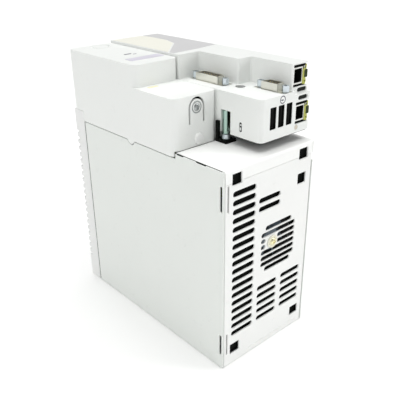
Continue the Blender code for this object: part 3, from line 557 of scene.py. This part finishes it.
def control_housing():
    """Overhanging module, connector deck and stepped tall part in one shell."""
    post_low, post_high = box_mm("ground_post")
    button_low, button_high = box_mm("reset_button")
    low = (fillet(rect(SPLIT_X, MODULE_Y, X1, Y1), (4.0, 1.2, 2.0, 1.0)), "Z", SEAM_Z + GAP, MID_Z)
    tall = (fillet(control_outline(), (0.8, 1.5, 1.5, 1.5, 1.5, 1.0, 2.0, 1.0)), "Z", MID_Z - 6, TOP_Z)
    right = X1 - WALL - 1.6
    cavity = [(rect(SPLIT_X + WALL, MODULE_Y + WALL, X1 + 2, Y1 - WALL), "Z", MODULE_Z + WALL, MID_Z - WALL)]
    below = [(rect(SPLIT_X + WALL, STEP_Y + WALL, X1 + 2, Y1 - WALL), "Z", 150, MODULE_Z + 6)]
    upper = [([(u if u < right else X1 + 2, v) for u, v in control_outline(WALL)], "Z",
              MID_Z - 8, TOP_Z - WALL)]
    under = [(rect(SPLIT_X - 2, MODULE_Y - 2, X1 + 2, STEP_Y), "Z", 150, MODULE_Z)]
    on_deck = [(rect(SPLIT_X - 2, STEP_Y - 0.01, X1 + 2, STEP_Y + 4), "Z", 150, DECK_Z + GAP)]
    clear_cap = [(rect(SPLIT_X - 2, CAP_Y - GAP, X1 + 2, Y1 + 2), "Z", 150, CAP_Z + GAP)]
    front = [(rounded(x - 3.3, HEADER_Z0 - 0.2, x + 3.3, HEADER_Z1 + 0.2, 0.6, 3), "Y",
              MODULE_Y - 2, MODULE_Y + 4) for x in HEADER_X]
    front.append((rect(JACK_LEFT, 180.0, X1 + 2, 196.4), "Y", MODULE_Y - 2, MODULE_Y + 4))
    middle = (button_low + button_high) / 2
    front.append((circle(middle.x, middle.z, 1.95, 24), "Y", MODULE_Y - 2, MODULE_Y + 4))
    window = [(rect(JACK_LEFT, 206.8, X1 + 2, TOP_Z - 1.0), "Y", TALL_Y - 4, TALL_Y + 3)]
    ledge = [(rect(TALL_X + 0.6, LEDGE_Z, X1 + 2, MID_Z + 1), "Y", MODULE_Y - 2, TALL_Y)]
    leds = [(slot(x, z, 11.0, 3.4), "Y", MODULE_Y - 2, TALL_Y + 3) for x, z in LIGHTS]
    deck = []
    for name in ("dsub15_shell", "dsub9_shell"):
        shell_low, shell_high = box_mm(name)
        hole = rounded(shell_low.x - GAP, shell_low.y - 0.4, shell_high.x + GAP, shell_high.y + 0.4, 2.0, 4)
        deck.append((hole, "Z", MID_Z - 4, MID_Z + 1))
    screw_low, screw_high = box_mm("cover_screw")
    screw = (screw_low + screw_high) / 2
    deck.append((circle(screw.x, screw.y, 3.95), "Z", MID_Z - 4, MID_Z + 1))
    post = (post_low + post_high) / 2
    channel = [(rect(SPLIT_X - 2, post.y - 7.2, post_high.x + 0.3, post_high.y + 0.3), "Z", MODULE_Z - 3,
                post_high.z + 0.5)]
    slit = [(slot_up(*SIDE_SLOT, 2.6, 7.5), "X", SPLIT_X - 2, SPLIT_X + 3)]
    socket = [(rect(3.0, 177.0, 40.0, 199.0), "Y", Y1 - 4, Y1 + 3)]
    ob = prism_object("control_shell", [low])
    carve(ob, [[tall]], "UNION")
    carve(ob, [cavity, below, upper])
    carve(ob, [[(rect(TALL_X + 1, 200.3, X1, MID_Z - 0.2), "Y", MODULE_Y + 0.5, TALL_Y + WALL)]], "UNION")
    carve(ob, [under, on_deck, clear_cap, front, window, ledge, leds, deck, channel, slit, socket])
    soften(ob, 0.6, 3)
    dress(ob, MOULDED, ["control_housing"])


# ---- small pieces on the faces ------------------------------------------------------------------
def turned(name, profile, axis):
    """Turned body: profile of (radius, height) pairs about an axis through the origin."""
    steps = 48
    bm = bmesh.new()
    rings = []
    for r, h in profile:
        ring = []
        for i in range(steps):
            t = 2 * pi * i / steps
            ring.append(bm.verts.new([c * MM for c in PLACE[axis](r * cos(t), r * sin(t), h)]))
        rings.append(ring)
    for a, b in zip(rings, rings[1:]):
        for i in range(steps):
            j = (i + 1) % steps
            bm.faces.new((a[i], a[j], b[j], b[i]))
    bm.faces.new(rings[0])
    bm.faces.new(rings[-1])
    bmesh.ops.recalc_face_normals(bm, faces=bm.faces)
    mesh = bpy.data.meshes.new(name)
    bm.to_mesh(mesh)
    bm.free()
    ob = bpy.data.objects.new(name, mesh)
    bpy.context.scene.collection.objects.link(ob)
    mesh.shade_smooth()
    mesh.set_sharp_from_angle(angle=radians(SHARP_ANGLE))
    return ob


def cross(axis, cu, cv, span, width, low, high):
    """Cutter of a cross recess."""
    a = span / 2
    b = width / 2
    outline = [(-b, -a), (b, -a), (b, -b), (a, -b), (a, b), (b, b),
               (b, a), (-b, a), (-b, b), (-a, b), (-a, -b), (-b, -b)]
    return [([(cu + p, cv + q) for p, q in outline], axis, low, high)]


def pan_screw(name, look, radius, height, place, replaces):
    """Round-headed screw with a cross recess, its head towards -Y."""
    x, y, z = place
    dome = [(radius * sin(t), -height * cos(t)) for t in (pi / 2 * k / 8 for k in range(8, -1, -1))]
    profile = [(radius * 0.98, 0.0)] + dome[:-1] + [(0.05, -height)]
    ob = turned(name, profile, "Y")
    ob.data.transform(Matrix.Translation([c * MM for c in place]))
    carve(ob, [cross("Y", x, z, radius * 1.25, radius * 0.28, y - height - 1, y - height * 0.45)])
    ob.data.shade_smooth()
    ob.data.set_sharp_from_angle(angle=radians(30))
    dress(ob, look, replaces)


def ring_piece(name, look, slot_name, axis, cu, cv, outer, inner, low, high):
    """Flat ring."""
    ob = prism_object(name, [(circle(cu, cv, outer, 48), axis, low, high)])
    carve(ob, [[(circle(cu, cv, inner, 48), axis, low - 1, high + 1)]])
    soften(ob, 0.05, 1)
    return dress(ob, look)


def face_screws():
    """Tongue screw in its ring, fan screw and round plug."""
    u, v = TONGUE
    pan_screw("tongue_screw_head", GREY_METAL, 2.9, 1.1, (u, STEP_Y + 0.2, v), ["tongue_screw"])
    ring_piece("tongue_screw_ring", GREY_METAL, "zinc", "Y", u, v, 4.6, 3.7, STEP_Y - 0.25, STEP_Y + 0.3)
    low, high = box_mm("fan_washer")
    centre = (low + high) / 2
    place = (centre.x, low.y + 0.1, centre.z)
    pan_screw("fan_screw_head", YELLOW, 3.3, 1.5, place, ["fan_screw"])
    low, high = box_mm("blank_plug")
    centre = (low + high) / 2
    r = (high.x - low.x) / 2
    dome = [(r * (1 - 0.35 * (1 - cos(t))), -1.5 * sin(t)) for t in (pi / 2 * k / 6 for k in range(7))]
    ob = turned("round_plug", [(r, 0.4)] + dome + [(0.05, -1.55)], "Y")
    ob.data.transform(Matrix.Translation((centre.x * MM, (STEP_Y - 0.1) * MM, centre.z * MM)))
    dress(ob, CAP_PLASTIC, ["blank_plug"])


def jacks():
    """Framed data sockets with brass springs and a component beside them at the open corner."""
    for name, top, z in (("rj45_upper", TOP_Z - 1.05, JACK_Z[0]), ("rj45_lower", 196.3, JACK_Z[1])):
        low = box_mm(name)[0]
        face = low.y - 0.1
        outline = rect(low.x - 0.4, z - 6.1, 42.4, z + 6.1)
        hole = (rounded(low.x + 0.7, z - 5.1, 42.0, z + 5.1, 0.3, 2), "Y", face - 2, face + 14)
        piece(name + "_frame", SHIELD, [(outline, "Y", face, face + 16)], cuts=[[hole]],
              edge=0.2, segments=2, replaces=[name])
        lining = (rounded(low.x + 0.8, z - 5.0, 41.9, z + 5.0, 0.3, 2), "Y", face + 0.5, face + 13)
        inside = (rounded(low.x + 1.0, z - 4.8, 41.7, z + 4.8, 0.3, 2), "Y", face - 1, face + 12.5)
        piece(name + "_lining", DARK, [lining], cuts=[[inside]], edge=0)
        # Painted shade: near-black strips in the window gaps above and below each socket.
        for part, z0, z1 in (("below", z - 7.7, z - 6.2), ("above", z + 6.2, top)):
            shade = rect(low.x - 0.4, z0, 45.8, min(z1, z + 7.9))
            piece(f"{name}_{part}", DARK, [(shade, "Y", face + 0.1, face + 8)], edge=0)
        spring = [(42.3, z - 6.6), (45.6, z - 7.4), (46.6, z - 5.0), (46.0, z - 2.6), (44.9, z - 1.2),
                  (44.6, z + 1.6), (45.6, z + 3.0), (46.4, z + 4.2), (46.8, z + 7.4), (45.4, z + 7.6),
                  (44.8, z + 5.0), (42.3, z + 4.0)]
        piece(name + "_spring", BRASS, [(spring, "Y", face - 0.2, face + 0.1)], edge=0.06, segments=1)
        block = (rounded(44.2, z - 2.4, 47.9, z + 3.6, 0.8, 3), "Y", face - 0.4, face + 5)
        piece(name + "_component", DARK_GREEN, [block], edge=0.3, segments=2)
        for label, step in (("m5", -5.4), ("p5", 4.6)):
            pad = (rect(44.4, z + step, 45.4, z + step + 1.2), "Y", face - 0.3, face)
            piece(f"{name}_pad_{label}", DARK_GREEN, [pad], edge=0.05, segments=1)


def socket_sleeves():
    """Black sleeves that line the three header slots, with a row of pins in each."""
    for number, x in enumerate(HEADER_X, 1):
        outer = (rounded(x - 3.22, HEADER_Z0 - 0.12, x + 3.22, HEADER_Z1 + 0.12, 0.5, 3), "Y",
                 MODULE_Y + 0.35, MODULE_Y + 2.2)
        inner = (rounded(x - 2.95, HEADER_Z0 + 0.2, x + 2.95, HEADER_Z1 - 0.2, 0.4, 3), "Y",
                 MODULE_Y - 1, MODULE_Y + 4)
        piece(f"header_sleeve_{number}", DARK, [outer], cuts=[[inner]], edge=0)
        for row in range(5):
            z = HEADER_Z0 + 2.0 + 3.0 * row
            pin = (rect(x - 0.35, z - 0.35, x + 0.35, z + 0.35), "Y", MODULE_Y + 6, MODULE_Y + 12.2)
            piece(f"header_pin_{number}_{row}", GOLD, [pin], edge=0.1, segments=1)


def films():
    """Plain films on the moulded tops."""
    low, high = box_mm("label_right")
    z0, z1 = low.z, low.z + 0.12
    left, right, back = low.x, high.x, high.y
    grey = [(left, 8.0), (24.0, 9.5), (right, 13.0), (right, back), (29.5, back), (31.3, 85.0), (31.3, 60.0),
            (25.5, 42.4), (left, 13.0)]
    cream = [(left, 15.0), (24.6, 43.3), (30.3, 60.4), (30.3, 84.8), (28.4, back), (left, back)]
    piece("grey_label", GREY_FILM, [(grey, "Z", z0, z1)], edge=0, replaces=["label_right"])
    piece("cream_label", CREAM_FILM, [(cream, "Z", z0, z1)], edge=0)
    sticker = rounded(-39.5, -6.4, -30.5, -3.2, 0.6, 4)
    piece("yellow_sticker", YELLOW_FILM, [(sticker, "Z", MID_Z, MID_Z + 0.12)], edge=0)
    mark = [(slot(-25.6, 39.4, 7.0, 2.0), "Z", FRONT_Z, FRONT_Z + 0.1)]
    piece("top_mark", MARK, mark, edge=0)
    tail = [(slot(-20.8, 36.4, 3.4, 0.9), "Z", FRONT_Z, FRONT_Z + 0.1)]
    piece("top_mark_tail", MARK, tail, edge=0)
    face = (MODULE_Y - 0.1, MODULE_Y + 0.1)
    ring_piece("port_mark", MARK, "label_grey", "Y", 16.7, 201.6, 2.9, 2.3, *face)
    piece("port_mark_bar", MARK, [(slot(16.2, 201.4, 2.4, 0.8), "Y", *face)], edge=0)


def underside():
    """Near-black plates under the overhanging module: painted shade along its bottom edge."""
    right = fillet(rect(3.8, MODULE_Y + 1.0, X1 - 1.0, STEP_Y - 0.4), (2.0, 1.0, 0, 0))
    left = fillet(rect(SPLIT_X + 1.0, MODULE_Y + 1.0, 3.8, -58.2), (2.0, 0, 0, 0))
    for name, outline in (("painted_shade_right", right), ("painted_shade_left", left)):
        pad = (outline, "Z", MODULE_Z - 0.9, MODULE_Z - 0.05)
        piece(name, DARK, [pad], edge=0.2, segments=2)


def latch_window():
    """Hook seen in the small slot of the module's side."""
    # Painted shade: near-black plate behind the side slot.
    pocket = [(slot_up(*SIDE_SLOT, 2.5, 7.4), "X", SPLIT_X + 0.45, SPLIT_X + 1.2)]
    piece("side_slot_painted_shade", DARK, pocket, edge=0)
    hook = [(rect(-68.2, 179.0, -67.2, 181.2), "X", SPLIT_X + 0.1, SPLIT_X + 0.5),
            (rect(-68.6, 182.4, -67.6, 183.8), "X", SPLIT_X + 0.1, SPLIT_X + 0.5)]
    piece("side_hook", MOULDED, hook, edge=0.1, segments=2)


def light_pipes():
    """Smoked ends of the light pipes, set back in their slots."""
    for number, ((x, z), face) in enumerate(zip(LIGHTS, (TALL_Y, MODULE_Y)), 1):
        end = (slot(x, z, 10.4, 2.8), "Y", face + 0.9, MODULE_Y + 12)
        piece(f"light_pipe_end_{number}", PIPE, [end], edge=0.15, segments=2,
              replaces=[f"light_pipe_{number}"])


def plug_pins():
    """Gold pins in the D-sub sockets and flat blades in the power sockets."""
    for name, count in (("dsub15", 8), ("dsub9", 5)):
        low, high = box_mm(name + "_insert")
        x, y = (low.x + high.x) / 2, (low.y + high.y) / 2
        pins = []
        for row, side in enumerate((-1.4, 1.4)):
            number = count - row
            for i in range(number):
                cy = y + 2.77 * (i - (number - 1) / 2)
                pins.append((circle(x + side, cy, 0.5, 12), "Z", high.z - 0.4, high.z + 0.25))
        piece(name + "_pins", GOLD, pins, edge=0.1, segments=1)
    for name, count in (("mains_connector", 3), ("motor_connector", 4)):
        low, high = box_mm(name)
        z = (low.z + high.z) / 2
        pitch = (high.x - low.x - 6.0) / count
        blades = []
        for i in range(count):
            cx = (low.x + high.x) / 2 + pitch * (i - (count - 1) / 2)
            blade = rect(cx - 1.6, z - 0.45, cx + 1.6, z + 0.45)
            blades.append((blade, "Y", high.y - 14.0, high.y - 4.5))
        piece(name + "_blades", ZINC, blades, edge=0.2, segments=2)
        ribs = []
        for i in range(count - 1):
            cx = (low.x + high.x) / 2 + pitch * (i + 1 - count / 2)
            rib = rect(cx - 0.5, low.z + 2.0, cx + 0.5, high.z - 2.0)
            ribs.append((rib, "Y", high.y - 13.5, high.y - 7.0))
        piece(name + "_ribs", BLACK, ribs, edge=0.2, segments=2)


# ---- right side ---------------------------------------------------------------------------------
def right_side():
    """Plain right side sheet with countersunk screws, and the side cover of the control housing."""
    edge_y = RIGHT_EDGE_Y - 0.5
    outline = [(Y0, 0), (edge_y, 0), (edge_y, SEAM_Z - 0.3), (STEP_Y, SEAM_Z - 0.3),
               (STEP_Y, PANEL_TOP - 0.4), (Y0 + 3.0, PANEL_TOP - 0.4), (Y0 + 3.0, 150.0), (Y0, 150.0)]
    sinks = [(circle(y, z, 3.6), "X", X1 - 0.9, X1 + 1) for y, z in SIDE_SCREWS]
    piece("right_side_sheet", PAINT, [(outline, "X", X1 - SHEET, X1)], cuts=[sinks], edge=0.3,
          replaces=["side_panel_right"])
    for number, (y, z) in enumerate(SIDE_SCREWS, 1):
        ob = prism_object(f"side_screw_{number}", [(circle(y, z, 3.3), "X", X1 - 0.85, X1 - 0.15)])
        carve(ob, [cross("X", y, z, 3.8, 0.9, X1 - 0.6, X1 + 1)])
        soften(ob, 0.25, 2)
        dress(ob, ZINC)
    low, high = COVER_LOW, COVER_HIGH
    cap_edge, cap_top = CAP_Y - 0.8, CAP_Z + GAP
    cover = [(low.y, MODULE_Z + 2.3), (STEP_Y + 3, MODULE_Z + 2.3), (STEP_Y + 3, SEAM_Z + GAP),
             (cap_edge, SEAM_Z + GAP), (cap_edge, cap_top), (high.y, cap_top), (high.y, high.z),
             (low.y + 5, high.z), (low.y + 5, 200.0), (low.y, 200.0)]
    recess = [(rounded(-20.0, 178.0, 66.0, 212.0, 2.0, 4), "X", X1 - 0.35, X1 + 1)]
    snaps = [(rounded(y, 214.5, y + 10.0, 217.0, 0.5, 2), "X", X1 - 2, X1 + 1) for y in (-60.0, 5.0, 70.0)]
    piece("side_cover", MOULDED, [(cover, "X", low.x, X1)], cuts=[recess, snaps], edge=0.3,
          segments=3, replaces=["control_cover"])
    film = [(rounded(-19.0, 179.0, 65.0, 211.0, 1.5, 4), "X", X1 - 0.34, X1 - 0.22)]
    piece("side_film", GREY_FILM, film, edge=0)


# ---- stage ------------------------------------------------------------------------------------
def stage():
    """Plain pale floor."""
    bm = bmesh.new()
    bmesh.ops.create_grid(bm, x_segments=1, y_segments=1, size=3.0)
    mesh = bpy.data.meshes.new("floor")
    bm.to_mesh(mesh)
    bm.free()
    floor = bpy.data.objects.new("floor", mesh)
    floor.location.z = -0.0003
    bpy.context.scene.collection.objects.link(floor)
    pale = surface("pale_floor", (0.95, 0.95, 0.945), 0.8, grain=30, bump=0.02, shade=0.0, cloud=3)
    mesh.materials.append(pale)


def sun(name, direction, spread, strength):
    """Soft distant light that comes from the given direction."""
    light = bpy.data.lights.new(name, "SUN")
    light.angle = radians(spread)
    light.energy = strength
    ob = bpy.data.objects.new(name, light)
    ob.rotation_euler = Vector(direction).to_track_quat("Z", "Y").to_euler()
    bpy.context.scene.collection.objects.link(ob)


def lights():
    """Soft studio light, with a white backdrop behind the floor."""
    bpy.context.scene.view_settings.view_transform = "Standard"
    world = bpy.data.worlds.new("studio")
    bpy.context.scene.world = world
    world.use_nodes = True
    tree = world.node_tree
    fill = tree.nodes["Background"]
    fill.inputs["Color"].default_value = (0.97, 1.0, 0.985, 1)
    fill.inputs["Strength"].default_value = 0.15
    paper = tree.nodes.new("ShaderNodeBackground")
    paper.inputs["Color"].default_value = (0.98, 0.98, 0.975, 1)
    rays = tree.nodes.new("ShaderNodeLightPath")
    mix = tree.nodes.new("ShaderNodeMixShader")
    tree.links.new(rays.outputs["Is Camera Ray"], mix.inputs["Fac"])
    tree.links.new(fill.outputs["Background"], mix.inputs[1])
    tree.links.new(paper.outputs["Background"], mix.inputs[2])
    tree.links.new(mix.outputs["Shader"], tree.nodes["World Output"].inputs["Surface"])
    sun("key", (1.15, -1.05, 0.62), 26, 0.95)
    sun("top", (0.1, 0.1, 1.4), 70, 2.75)
    sun("left", (-1.35, -0.55, 0.6), 70, 0.97)


VIEW_YAW, VIEW_PITCH, VIEW_ROLL = 0.7248, 0.44355, -0.0128
VIEW_OFFSET = (16.95, 125.23, 416.49)          # the case's corner in camera axes: right, down, ahead
VIEW_CORNER = (45.0, 90.0, 0.0)                # from the case's corner back to the frame's origin
VIEW_LENS = 50.386
VIEW_SCALE = 1.0556


def camera():
    """Camera at the angle and distance that the case's straight edges give."""
    a, b, c = VIEW_YAW, VIEW_PITCH, VIEW_ROLL
    ahead = Vector((sin(a) * cos(b), cos(a) * cos(b), -sin(b)))
    level = Vector((cos(a), -sin(a), 0))
    up = level.cross(ahead)
    right = level * cos(c) + up * sin(c)
    top = up * cos(c) - level * sin(c)
    x, y, z = VIEW_OFFSET
    corner = -(right * x - top * y + ahead * z)
    place = (corner - Vector(VIEW_CORNER)) * VIEW_SCALE * MM
    data = bpy.data.cameras.new("camera")
    data.lens = VIEW_LENS
    data.sensor_width = 36.0
    ob = bpy.data.objects.new("camera", data)
    matrix = Matrix((right, top, -ahead)).transposed().to_4x4()
    matrix.translation = place
    ob.matrix_world = matrix
    bpy.context.scene.collection.objects.link(ob)
    bpy.context.scene.camera = ob


camera()
paint_nodes()
side_panel()
seam_painted_shades()
tongue_groove_painted_shade()
fan_end()
vent_cap()
front_housing()
control_housing()
face_screws()
jacks()
socket_sleeves()
films()
latch_window()
light_pipes()
plug_pins()
right_side()
underside()
stage()
lights()
